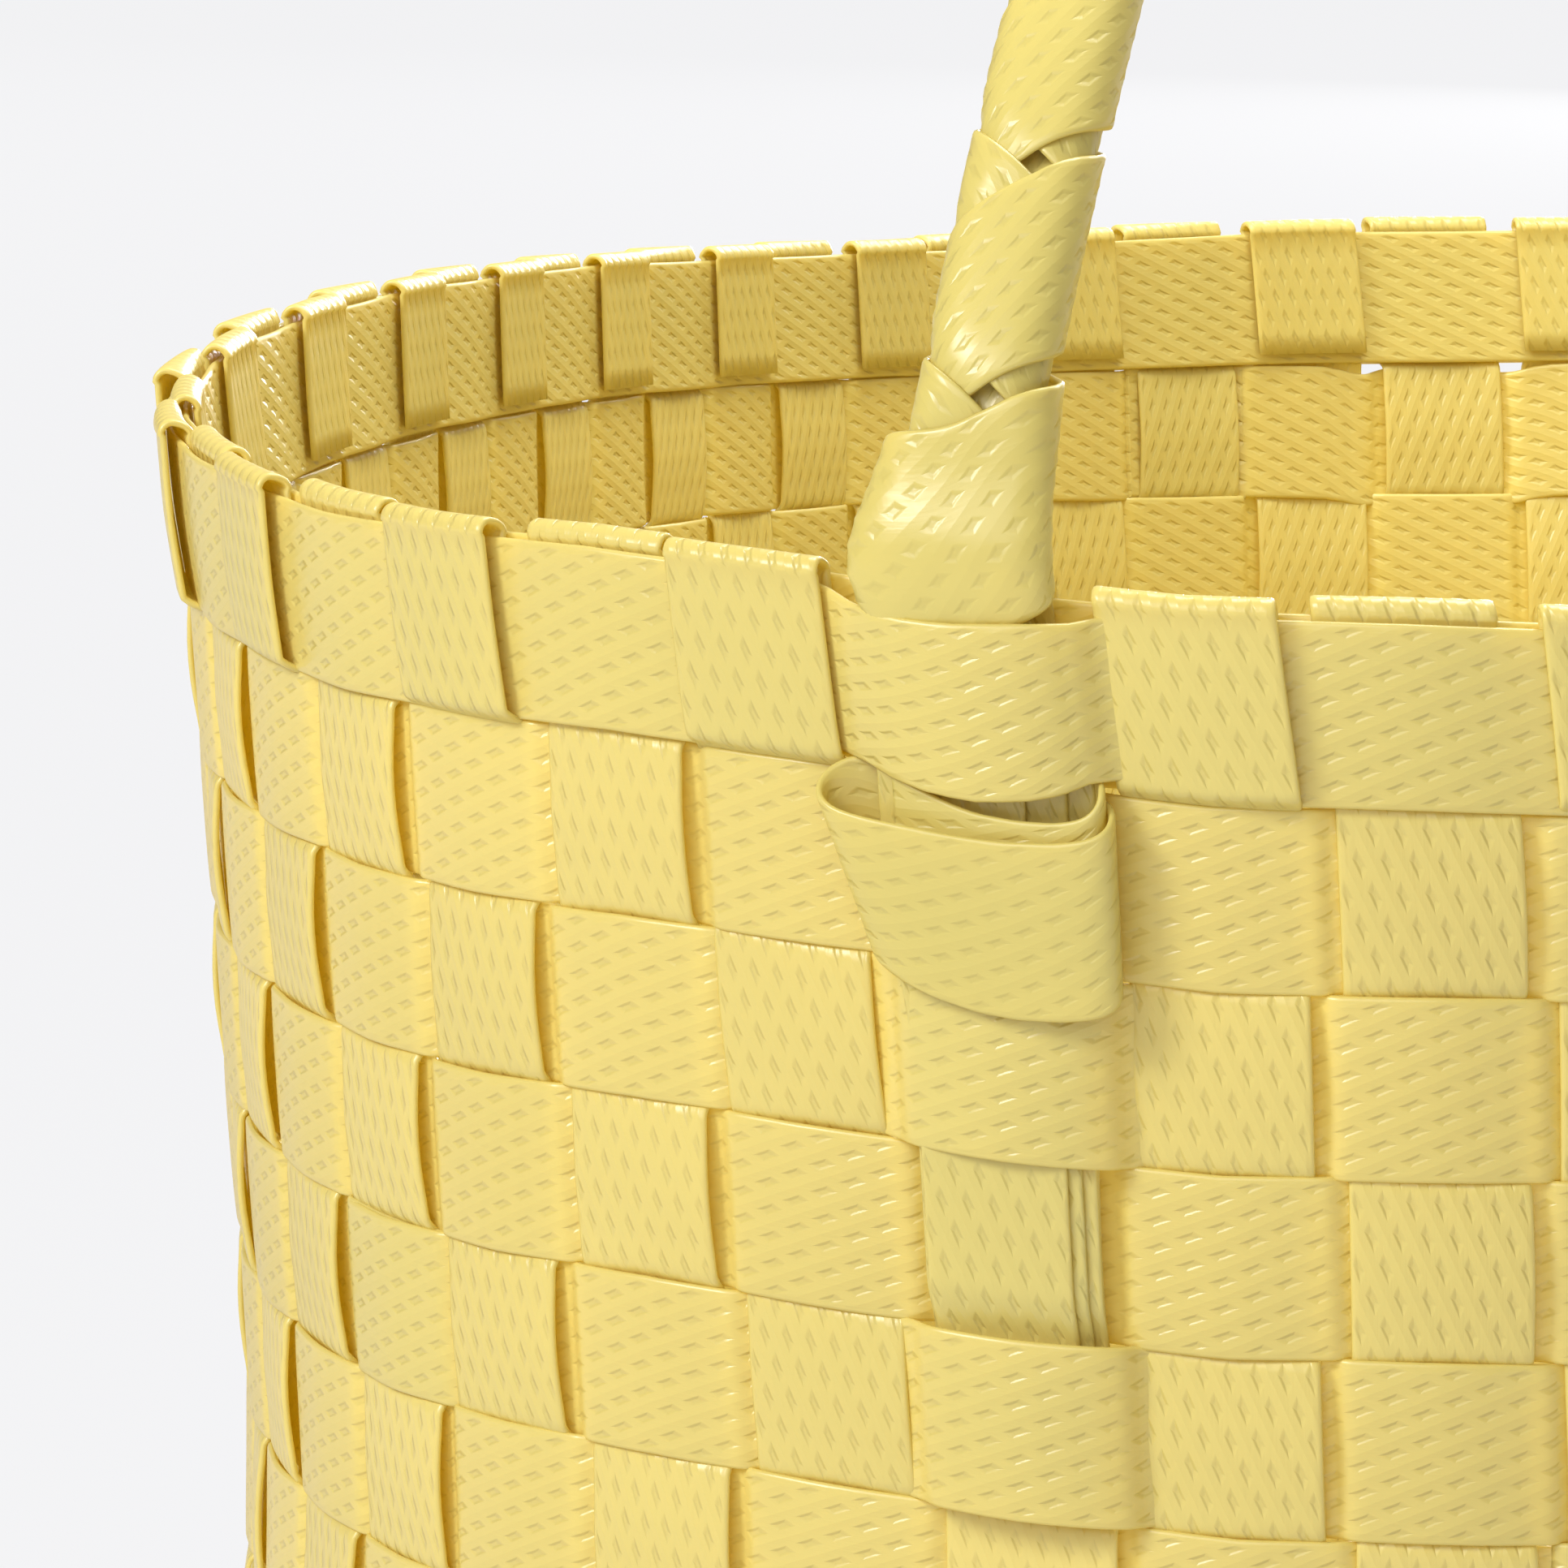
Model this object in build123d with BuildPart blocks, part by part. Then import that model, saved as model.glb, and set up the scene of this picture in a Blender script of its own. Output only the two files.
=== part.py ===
from build123d import *
from math import cos, hypot, pi, sin, sqrt
import os

os.makedirs("parts", exist_ok=True)

# Driving dimensions, mm. Origin: middle of the underside. +Z up, long axis along Y.
RIM_HALF_WIDTH = 98.0        # wall centre to middle, across the basket, at the rim
RIM_HALF_LENGTH = 166.0      # wall centre to middle, along the basket, at the rim
OVAL_POWER = 2.3             # a little squarer than an ellipse
STAKES = 60                  # upright straps round the wall
STRAP_WIDTH = 12.0
STRAP = 0.5                  # thickness of one strap
ROW_COUNT = 11               # woven rows in the wall, the rim row included
ROW_PITCH = 12.2
BAND_GAP = 0.4               # each row band stops this far from its row's edges
WEAVE = 0.3                  # a strap's middle lies this far in or out of the wall centre
FLAT = 6.45                  # half of the straight run of a row band at each stake, at the rim
TAPER = 0.06                 # the base outline is this much smaller than the rim outline
BASE_LAYERS = (0.0, 0.7, 1.4, 2.1)
WALL_FOOT = 3.2              # lower edge of the lowest row
RIM_OUTER, RIM_INNER, RIM_LAP = 0.7, -0.7, 1.4   # rim bands, and straps lapped over them
RIM_BAND_LIFT = 1.2          # rim bands stand this far above the row under them
TAIL_LENGTH = 9.0            # end of an outside stake tucked down between the rim bands
LENGTHWISE = 6               # stakes -6..6 at each end are the ends of lengthwise straps
TAIL_OFFSETS = (1.68, 2.2, 2.72)  # three handle straps woven down over the end stake
TAIL_STRAP = 0.42
BULGE = 3.4                  # row bands pass outside the handle straps here
BAIL_RADIUS = 192.5          # handle arc, through both feet
BAIL_LEG = 168.2             # handle centre to middle at the feet
BAIL_AXIS_RISE = 5.0         # the handle flexes about this height above the rim
CORE_HALF_WIDTH = 3.2
CORE_STRAP = 1.0             # each core strap is folded double
CORE_STEP = 1.1
WRAP_CLEARANCE = 0.15
WRAP_LEG = 0.6               # the wound straps reach this far below the flexing height
FOOT_INSET = 1.0             # base strap ends are this much narrower at each side of the foot
FOOT_RUN = 16.0              # length over which a base strap narrows to its foot

# Levels of the row edges, from the rim down.
RIM = WALL_FOOT + ROW_COUNT * ROW_PITCH
ROW_EDGE = [RIM - i * ROW_PITCH for i in range(ROW_COUNT + 1)]
HALF = STRAP / 2


def oval(angle):
    """Point of the rim outline, 0 at the near end and growing towards +X."""
    s, c = sin(angle), cos(angle)
    x = RIM_HALF_WIDTH * abs(s) ** (2 / OVAL_POWER) * (1 if s >= 0 else -1)
    y = -RIM_HALF_LENGTH * abs(c) ** (2 / OVAL_POWER) * (1 if c >= 0 else -1)
    return x, y


def quarter_stations(count):
    """Equal steps along a quarter of the outline: points, tangents, and the step."""
    fine = 6000
    pts = [oval(pi / 2 * i / fine) for i in range(fine + 1)]
    run = [0.0]
    for p, q in zip(pts, pts[1:]):
        run.append(run[-1] + hypot(q[0] - p[0], q[1] - p[1]))
    step = run[-1] / count
    stations = []
    j = 0
    for i in range(count + 1):
        while j < fine - 1 and run[j + 1] < i * step:
            j += 1
        t = (i * step - run[j]) / (run[j + 1] - run[j])
        x = pts[j][0] + t * (pts[j + 1][0] - pts[j][0])
        y = pts[j][1] + t * (pts[j + 1][1] - pts[j][1])
        a, b = pts[max(j - 8, 0)], pts[min(j + 9, fine)]
        span = hypot(b[0] - a[0], b[1] - a[1])
        stations.append((x, y, (b[0] - a[0]) / span, (b[1] - a[1]) / span))
    stations[0] = (0.0, -RIM_HALF_LENGTH, 1.0, 0.0)
    stations[-1] = (RIM_HALF_WIDTH, 0.0, 0.0, 1.0)
    return stations, step


QUARTER, PITCH = quarter_stations(STAKES // 4)


def station(k):
    """Wall centre at stake k on the rim, with the unit tangent: (x, y, tx, ty)."""
    k = (k + STAKES // 2) % STAKES - STAKES // 2
    side = 1 if k >= 0 else -1
    k = abs(k)
    far = k > STAKES // 4
    x, y, tx, ty = QUARTER[STAKES // 2 - k if far else k]
    if far:
        y, tx = -y, -tx
    return x * side, y, tx, ty * side


def scale_at(z):
    """The wall draws in towards the base."""
    return 1 - TAPER * (RIM - z) / RIM


def is_out(k, row):
    """Odd stakes pass outside the odd rows, even stakes outside the even rows."""
    return (k + row) % 2 == 0


def thicken(path, thickness, closed=False):
    """Outline of a strip along a 2D path, mitred at its corners."""
    sides = []
    n = len(path)
    for turn in (1, -1):
        side = []
        for i, p in enumerate(path):
            before = path[i - 1] if (i or closed) else None
            after = path[(i + 1) % n] if (i < n - 1 or closed) else None
            dirs = []
            for a, b in ((before, p), (p, after)):
                if a is not None and b is not None:
                    d = hypot(b[0] - a[0], b[1] - a[1])
                    dirs.append(((b[0] - a[0]) / d, (b[1] - a[1]) / d))
            nx = -sum(d[1] for d in dirs)
            ny = sum(d[0] for d in dirs)
            size = hypot(nx, ny)
            nx, ny = nx / size, ny / size
            fit = nx * -dirs[0][1] + ny * dirs[0][0]
            reach = turn * thickness / 2 / fit
            side.append((p[0] + nx * reach, p[1] + ny * reach))
        sides.append(side)
    if closed:
        return sides
    return sides[0] + sides[1][::-1]


def stake_path(k, foot):
    """(offset, height) points of a stake from its foot up over the rim band and down."""
    level = WEAVE if is_out(k, ROW_COUNT) else -WEAVE
    path = [(level, foot)]
    for row in range(ROW_COUNT, 1, -1):
        level = WEAVE if is_out(k, row) else -WEAVE
        if row < ROW_COUNT:
            path.append((level, ROW_EDGE[row] + 0.3))
        path.append((level, ROW_EDGE[row - 1] - 0.3))
    if k % 2:
        lap, back, end = RIM_LAP, 0.0, RIM - TAIL_LENGTH
        path.append((lap, ROW_EDGE[1] + RIM_BAND_LIFT - 0.2))
        turn = -0.3
    else:
        lap, back, end = 0.0, -RIM_LAP, ROW_EDGE[1] + 1.5
        path.append((lap, ROW_EDGE[1] + 0.3))
        turn = -0.3
    path += [(lap, RIM - 0.2), (lap + turn, RIM + 0.25)]
    path += [(back - turn, RIM + 0.25), (back, RIM - 0.2), (back, end)]
    return path


def wall_plane(k):
    """Sketch plane of a stake's profile: x outwards, y up along the leaning stake."""
    x, y, tx, ty = station(k)
    along = x * tx + y * ty
    lean = along * TAPER / RIM
    up = Vector(tx * lean, ty * lean, 1)
    out = Vector(ty, -tx, 0)
    origin = Vector(tx, ty, 0) * along * scale_at(0)
    return Plane(origin=origin, x_dir=out, z_dir=out.cross(up)), up.length


def wall_profile(k, outline):
    """A profile's (offset, height) points in the coordinates of wall_plane(k)."""
    x, y, tx, ty = station(k)
    outwards = x * ty - y * tx
    stretch = wall_plane(k)[1]
    return [(o + outwards * scale_at(z), z * stretch) for o, z in outline]


def foot_corners(k, z):
    """The two outer corners of stake k's foot at height z."""
    x, y, tx, ty = station(k)
    s = scale_at(z)
    off = (WEAVE if is_out(k, ROW_COUNT) else -WEAVE) + HALF
    px, py = x * s + ty * off, y * s - tx * off
    w = STRAP_WIDTH / 2 - FOOT_INSET
    return (px - tx * w, py - ty * w), (px + tx * w, py + ty * w)


def ring_solid(centre_line, low, high):
    """A flat-faced band: the closed centre line at rim size, thickened and tapered."""
    sides = thicken(centre_line, STRAP, closed=True)
    faces = []
    wires = {}
    for name, z in (("low", low), ("high", high)):
        s = scale_at(z)
        loops = [[Vector(x * s, y * s, z) for x, y in side] for side in sides]
        loops.sort(key=lambda loop: -max(p.Y for p in loop))
        wires[name] = loops
        faces.append(Face(Wire.make_polygon(loops[0]), [Wire.make_polygon(loops[1])]))
    for low_loop, high_loop in zip(wires["low"], wires["high"]):
        n = len(low_loop)
        for i in range(n):
            j = (i + 1) % n
            corners = [low_loop[i], low_loop[j], high_loop[j], high_loop[i]]
            faces.append(Face(Wire.make_polygon(corners)))
    return Solid(Shell(faces))


def band_line(offset_of):
    """Centre line of a band round all stakes; offset_of(k) is its level at stake k."""
    line = []
    for k in range(STAKES):
        x, y, tx, ty = station(k)
        off = offset_of(k)
        for side in (-1, 1):
            along = side * FLAT
            line.append((x + tx * along + ty * off, y + ty * along - tx * off))
    return line


def is_handle_stake(k):
    return k % (STAKES // 2) == 0


def row_offset(row):
    """Level of a row band at each stake, out over the handle straps where they pass."""
    def level(k):
        if is_handle_stake(k) and not is_out(k, row) and row <= 5:
            return BULGE
        return -WEAVE if is_out(k, row) else WEAVE
    return level


def save(name, builder):
    builder.part.label = name
    export_step(builder.part, f"parts/{name}.step")


# Upright straps: each rises up one wall, crosses the base and rises up the opposite wall.
pairs = [(k, STAKES // 2 - k, True) for k in range(-LENGTHWISE, LENGTHWISE + 1)]
pairs += [(k, -k, False) for k in range(LENGTHWISE + 1, STAKES // 2 - LENGTHWISE)]
for number, (near, far, lengthwise) in enumerate(pairs):
    layer = BASE_LAYERS[(0 if near % 2 == 0 else 2) + (0 if lengthwise else 1)]
    with BuildPart() as strap:
        for k in (near, far):
            plane, _ = wall_plane(k)
            profile = wall_profile(k, thicken(stake_path(k, layer), STRAP))
            tx, ty = station(k)[2:]
            with BuildSketch(plane):
                Polygon(*profile, align=None)
            extrude(amount=STRAP_WIDTH / 2, dir=(tx, ty, 0), both=True)
        x, y = station(near)[:2]
        s = scale_at(layer)
        w = STRAP_WIDTH / 2
        a, b = foot_corners(near, layer)
        c, d = foot_corners(far, layer)
        with BuildSketch(Plane.XY.offset(layer)):
            if lengthwise:
                mid, end = x * s, abs(y) * s - FOOT_RUN
                Polygon((mid - w, -end), a, b, (mid + w, -end),
                        (mid + w, end), c, d, (mid - w, end), align=None)
            else:
                mid, end = y * s, abs(x) * s - FOOT_RUN
                Polygon((end, mid - w), a, b, (end, mid + w),
                        (-end, mid + w), c, d, (-end, mid - w), align=None)
        extrude(amount=STRAP)
    name = f"strap_lengthwise_{number + 1}" if lengthwise else f"strap_cross_{number - 2 * LENGTHWISE}"
    save(name, strap)

# Row bands, woven in and out of the stakes.
for row in range(2, ROW_COUNT + 1):
    low, high = ROW_EDGE[row] + BAND_GAP, ROW_EDGE[row - 1] - BAND_GAP
    with BuildPart() as band:
        add(ring_solid(band_line(row_offset(row)), low, high))
    save(f"row_band_{row}", band)

# Two rim bands, inside and outside the stakes.
rim_low, rim_high = ROW_EDGE[1] + RIM_BAND_LIFT, RIM - BAND_GAP
with BuildPart() as rim_outer:
    add(ring_solid(band_line(lambda k: BULGE if is_handle_stake(k) else RIM_OUTER), rim_low, rim_high))
save("rim_band_outer", rim_outer)
with BuildPart() as rim_inner:
    add(ring_solid(band_line(lambda k: RIM_INNER), rim_low, rim_high))
save("rim_band_inner", rim_inner)

# Handle straps woven down over the end stakes, and the loop that locks them in row 2.
for end_name, k in (("near", 0), ("far", STAKES // 2)):
    plane, _ = wall_plane(k)
    tx, ty = station(k)[2:]
    for number, off in enumerate(TAIL_OFFSETS, 1):
        top, bottom = RIM + 1.4, ROW_EDGE[5] + 1.5
        box = [(off - TAIL_STRAP / 2, bottom), (off + TAIL_STRAP / 2, bottom),
               (off + TAIL_STRAP / 2, top), (off - TAIL_STRAP / 2, top)]
        with BuildPart() as tail:
            with BuildSketch(plane):
                Polygon(*wall_profile(k, box), align=None)
            extrude(amount=STRAP_WIDTH / 2, dir=(tx, ty, 0), both=True)
        save(f"handle_tail_{end_name}_{number}", tail)
    low, high = ROW_EDGE[2] + BAND_GAP, ROW_EDGE[1] + 0.2
    with BuildPart() as loop:
        for inner, outer, half, mode in ((0.75, 3.65, 6.8, Mode.ADD), (1.25, 3.15, 6.3, Mode.SUBTRACT)):
            box = [(inner, low), (outer, low), (outer, high), (inner, high)]
            with BuildSketch(plane):
                Polygon(*wall_profile(k, box), align=None)
            extrude(amount=half, dir=(tx, ty, 0), both=True, mode=mode)
    save(f"lock_loop_{end_name}", loop)

# Handle: four folded straps bent to an arc, inside two wound straps.
AXIS = RIM + BAIL_AXIS_RISE
ARC_CENTRE = AXIS - sqrt(BAIL_RADIUS ** 2 - BAIL_LEG ** 2)


def bail_profile(inner, outer, foot):
    """Half-turned arch between two radii with short upright legs, on the YZ plane."""
    drop = AXIS - ARC_CENTRE
    legs = [sqrt((BAIL_RADIUS + r) ** 2 - drop ** 2) for r in (inner, outer)]
    tops = [ARC_CENTRE + BAIL_RADIUS + r for r in (inner, outer)]
    with BuildSketch(Plane.YZ) as arch:
        with BuildLine():
            Line((-legs[1], foot), (-legs[1], AXIS))
            ThreePointArc((-legs[1], AXIS), (0, tops[1]), (legs[1], AXIS))
            Line((legs[1], AXIS), (legs[1], foot))
            Line((legs[1], foot), (legs[0], foot))
            Line((legs[0], foot), (legs[0], AXIS))
            ThreePointArc((legs[0], AXIS), (0, tops[0]), (-legs[0], AXIS))
            Line((-legs[0], AXIS), (-legs[0], foot))
            Line((-legs[0], foot), (-legs[1], foot))
        make_face()
    return arch.sketch


for number in range(4):
    inner = (number - 2) * CORE_STEP + (CORE_STEP - CORE_STRAP) / 2
    folded = bail_profile(inner, inner + CORE_STRAP, AXIS - CORE_HALF_WIDTH)
    with BuildPart() as core:
        extrude(folded, amount=CORE_HALF_WIDTH, both=True)
        with BuildSketch(Plane.XZ):
            with Locations((0, AXIS - CORE_HALF_WIDTH)):
                Rectangle(2.2 * CORE_HALF_WIDTH, 2 * CORE_HALF_WIDTH)
            with Locations((0, AXIS)):
                Circle(CORE_HALF_WIDTH, mode=Mode.SUBTRACT)
        extrude(amount=1.2 * BAIL_LEG, both=True, mode=Mode.SUBTRACT)
    save(f"handle_core_{number + 1}", core)

reach = 2 * CORE_STEP + WRAP_CLEARANCE
width = CORE_HALF_WIDTH + WRAP_CLEARANCE
for name in ("handle_wrap_under", "handle_wrap_over"):
    skin = bail_profile(-reach - STRAP, reach + STRAP, AXIS - WRAP_LEG)
    room = bail_profile(-reach, reach, AXIS - WRAP_LEG)
    with BuildPart() as wrap:
        extrude(skin, amount=width + STRAP, both=True)
        extrude(room, amount=width, both=True, mode=Mode.SUBTRACT)
    save(name, wrap)
    reach += STRAP + WRAP_CLEARANCE
    width += STRAP + WRAP_CLEARANCE

print("stake pitch", round(PITCH, 3), "rim height", round(RIM, 2), "handle axis", round(AXIS, 2))
print("arc centre", round(ARC_CENTRE, 2), "top", round(ARC_CENTRE + BAIL_RADIUS, 2))
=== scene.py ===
import math

import bpy
import numpy as np
from mathutils import Matrix, Vector


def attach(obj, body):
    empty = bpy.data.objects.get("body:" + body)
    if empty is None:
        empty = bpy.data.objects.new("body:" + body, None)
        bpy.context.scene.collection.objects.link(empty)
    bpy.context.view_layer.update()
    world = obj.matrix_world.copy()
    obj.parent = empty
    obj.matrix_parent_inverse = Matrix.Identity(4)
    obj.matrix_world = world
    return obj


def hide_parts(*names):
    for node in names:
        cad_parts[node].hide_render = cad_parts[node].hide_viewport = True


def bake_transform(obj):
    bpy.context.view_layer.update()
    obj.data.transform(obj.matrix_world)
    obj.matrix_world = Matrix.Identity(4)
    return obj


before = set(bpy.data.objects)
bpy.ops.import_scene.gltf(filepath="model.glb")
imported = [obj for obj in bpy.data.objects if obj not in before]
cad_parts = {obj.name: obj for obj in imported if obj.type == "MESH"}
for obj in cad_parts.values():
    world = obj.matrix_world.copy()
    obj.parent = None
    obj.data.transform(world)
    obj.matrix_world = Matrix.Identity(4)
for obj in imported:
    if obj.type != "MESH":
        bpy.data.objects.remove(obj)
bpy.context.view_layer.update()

# ---------------------------------------------------------------- dimensions
# Millimetres, in the CAD row frame. The CAD model's driving dimensions are repeated here.
MM = 0.001
RIM_HALF_WIDTH = 98.0
RIM_HALF_LENGTH = 166.0
OVAL_POWER = 2.3
STAKES = 60
STRAP_WIDTH = 12.0
STRAP = 0.5
ROW_COUNT = 11
ROW = 12.2
WALL_FOOT = 3.2
TAPER = 0.06
RIM = WALL_FOOT + ROW_COUNT * ROW
LENGTHWISE = 6
BAIL_RADIUS = 192.5
BAIL_LEG = 168.2
AXIS = RIM + 5.0
ARC_CENTRE = AXIS - math.sqrt(BAIL_RADIUS ** 2 - BAIL_LEG ** 2)

# Hand-woven unevenness, mm: Fourier terms (cos, sin) of 1, 2 and 3 waves round the rim.
UNEVEN_OUT = (-1.4, 1.59, -0.53, 3.73, -0.85, -1.14)
UNEVEN_ALONG = (-0.24, 0.36, 1.54, 0.64)
UNEVEN_UP = (0.79, -2.68, 0.5, -1.86, 0.59, 1.59)
LEAN_PER_ROW = 0.82
# Local rise of the rim, and extra rise per row below it, mm, by upright.
NUDGE_AT = (-30, -28, -26, -24, -22, -20, -18, -16, -14, -12, -10,
            -8, -6, -5, -4, -3, -2, -1, 0, 1, 2, 3, 6)
NUDGE_TOP = (0.9, 1.1, 1.2, 0.7, -0.1, -0.4, -0.7, -0.6, -0.2, 0.3, 0.4,
             0, -0.2, -0.3, -0.5, -0.3, 0.2, 0, -0.4, -0.7, -0.1, 0.2, 0)
NUDGE_ROW = (-1.0, -1.1, -1.1, -0.5, 0.2, 0.3, 0.2, 0.1, 0, 0, 0,
             0, 0, 0, 0, 0, 0, 0, 0, 0, 0, 0, 0)
RIM_SLANT = 0.95
# The rim flares and the wall below it draws in at the left end: rows below the rim, and mm outwards.
SIDE_LEVEL = (-0.3, 0.5, 1.0, 2.0, 3.0, 4.0, 5.0, 7.0, 9.0, 11.0)
SIDE_OUT = (2.8, 2.0, 1.2, 0.6, 0.1, -0.4, -1.0, -1.9, -2.2, -2.2)

WEAVE = 0.40         # middle of a strap is this far in or out of the wall's middle
BELLY = 0.36         # extra bulge of a band between two stakes
RIM_BAND = 0.66      # rim bands lie this far each side of the stakes
RIM_LAP = 1.55       # straps folded over the rim bands
rng = np.random.default_rng(7)


def smooth(t):
    t = np.clip(t, 0.0, 1.0)
    return t * t * (3 - 2 * t)


# ---------------------------------------------------------------- the oval wall
_angle = np.linspace(-math.pi, math.pi, 16001)
_sin, _cos = np.sin(_angle), np.cos(_angle)
_oval_x = RIM_HALF_WIDTH * np.sign(_sin) * np.abs(_sin) ** (2 / OVAL_POWER)
_oval_y = -RIM_HALF_LENGTH * np.sign(_cos) * np.abs(_cos) ** (2 / OVAL_POWER)
_run = np.concatenate([[0], np.cumsum(np.hypot(np.diff(_oval_x), np.diff(_oval_y)))])
GIRTH = _run[-1]
_run = _run - GIRTH / 2
PITCH = GIRTH / STAKES


def oval_at(s):
    s = (s + GIRTH / 2) % GIRTH - GIRTH / 2
    return np.interp(s, _run, _oval_x), np.interp(s, _run, _oval_y)


def waves(terms, angle):
    total = np.zeros_like(angle)
    for i in range(0, len(terms), 2):
        total = total + terms[i] * np.cos((i // 2 + 1) * angle)
        total = total + terms[i + 1] * np.sin((i // 2 + 1) * angle)
    return total


def wall(s, z, out):
    """Points of the wall in mm. s runs along the rim from the near end towards +X."""
    s, z, out = np.broadcast_arrays(np.asarray(s, float), np.asarray(z, float), np.asarray(out, float))
    angle = 2 * math.pi * s / GIRTH
    level = (RIM - z) / ROW
    keep = smooth(z / 70.0)
    stake = (s / PITCH + STAKES / 2) % STAKES - STAKES / 2
    lean = LEAN_PER_ROW * (level - 2) * np.clip((ROW_COUNT - level) / 6, 0, 1)
    lean = lean - RIM_SLANT * np.clip(1 - level, 0, 1.3)
    s = s + waves(UNEVEN_ALONG, angle) * keep + lean * np.cos(angle)
    x, y = oval_at(s)
    x0, y0 = oval_at(s - 1.5)
    x1, y1 = oval_at(s + 1.5)
    size = np.hypot(x1 - x0, y1 - y0)
    tx, ty = (x1 - x0) / size, (y1 - y0) / size
    scale = 1 - TAPER * (RIM - z) / RIM
    lopsided = np.exp(-((stake + 8.5) / 4.0) ** 2) * np.interp(level, SIDE_LEVEL, SIDE_OUT)
    out = out + (waves(UNEVEN_OUT, angle) + lopsided) * keep
    nudge = np.interp(stake, NUDGE_AT, NUDGE_TOP) + np.interp(stake, NUDGE_AT, NUDGE_ROW) * np.clip(level, 0, 3)
    up = (waves(UNEVEN_UP, angle) + nudge) * keep
    return np.stack([x * scale + ty * out, y * scale - tx * out, z + up], axis=-1)


def weave(q, sharp, belly):
    """Height of a strap through over-and-under crossings; q is a sine of the position."""
    return WEAVE * np.tanh(sharp * q) / math.tanh(sharp) + belly * q * np.abs(q)


# ---------------------------------------------------------------- strap meshes
def across_samples(half):
    inner = np.linspace(-(half - 0.6), half - 0.6, 9)
    edge = np.array([half - 0.3, half - 0.1, half])
    return np.concatenate([-edge[::-1], inner, edge])


def strap_mesh(name, grid, across, along, thickness=STRAP, tone=0.0):
    """A strap of rounded thickness on a mid-surface grid (along, across, xyz) in mm."""
    n, m = grid.shape[:2]
    half = across.max()
    d_along = np.gradient(grid, axis=0)
    d_across = np.gradient(grid, axis=1)
    normal = np.cross(d_across, d_along)
    normal /= np.linalg.norm(normal, axis=-1, keepdims=True) + 1e-12
    edge = np.clip((np.abs(across) - (half - 0.3)) / 0.3, 0, 1)
    depth = thickness / 2 * np.sqrt(1 - edge ** 2)
    top = grid + normal * depth[None, :, None]
    low = grid - normal * depth[None, :, None]
    ring = np.concatenate([top, low[:, m - 2:0:-1]], axis=1)
    r = ring.shape[1]
    verts = (ring.reshape(-1, 3) * MM).astype(np.float32)
    i = np.arange(n - 1)[:, None]
    j = np.arange(r)[None, :]
    a = i * r + j
    b = i * r + (j + 1) % r
    quads = np.stack([a, b, b + r, a + r], axis=-1).reshape(-1, 4)
    caps = []
    for row, flip in ((0, True), (n - 1, False)):
        base = row * r
        loop = [base + q for q in range(r)]
        for q in range(0, m - 1):
            t0, t1 = loop[q], loop[q + 1]
            l0, l1 = loop[(r - q) % r], loop[(r - q - 1) % r]
            face = [t0, t1] + ([l1] if l1 != t1 else []) + ([l0] if l0 != t0 else [])
            caps.append(face if not flip else face[::-1])
    mesh = bpy.data.meshes.new(name)
    loops = np.concatenate([quads.reshape(-1)] + [np.array(c) for c in caps]).astype(np.int32)
    counts = np.concatenate([np.full(len(quads), 4), [len(c) for c in caps]]).astype(np.int32)
    starts = np.concatenate([[0], np.cumsum(counts)[:-1]]).astype(np.int32)
    mesh.vertices.add(len(verts))
    mesh.vertices.foreach_set("co", verts.reshape(-1))
    mesh.loops.add(len(loops))
    mesh.loops.foreach_set("vertex_index", loops)
    mesh.polygons.add(len(counts))
    mesh.polygons.foreach_set("loop_start", starts)
    mesh.polygons.foreach_set("use_smooth", np.concatenate([np.ones(len(quads), bool), np.zeros(len(caps), bool)]))
    mesh.update(calc_edges=True)
    ring_across = np.concatenate([across, across[m - 2:0:-1]])
    coords = np.zeros((n, r, 3), np.float32)
    coords[..., 0] = ring_across[None, :]
    coords[..., 1] = along[:, None]
    coords[..., 2] = tone
    layer = mesh.attributes.new("strap", "FLOAT_VECTOR", "POINT")
    layer.data.foreach_set("vector", coords.reshape(-1))
    obj = bpy.data.objects.new(name, mesh)
    bpy.context.scene.collection.objects.link(obj)
    return obj


def run_length(points):
    """Distance along a row of points."""
    steps = np.linalg.norm(np.diff(points, axis=0), axis=1)
    return np.concatenate([[0], np.cumsum(steps)])


def finish_piece(obj, node, material, body="basket"):
    obj.data.materials.append(material)
    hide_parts(node)
    if body:
        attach(obj, body)


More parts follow.
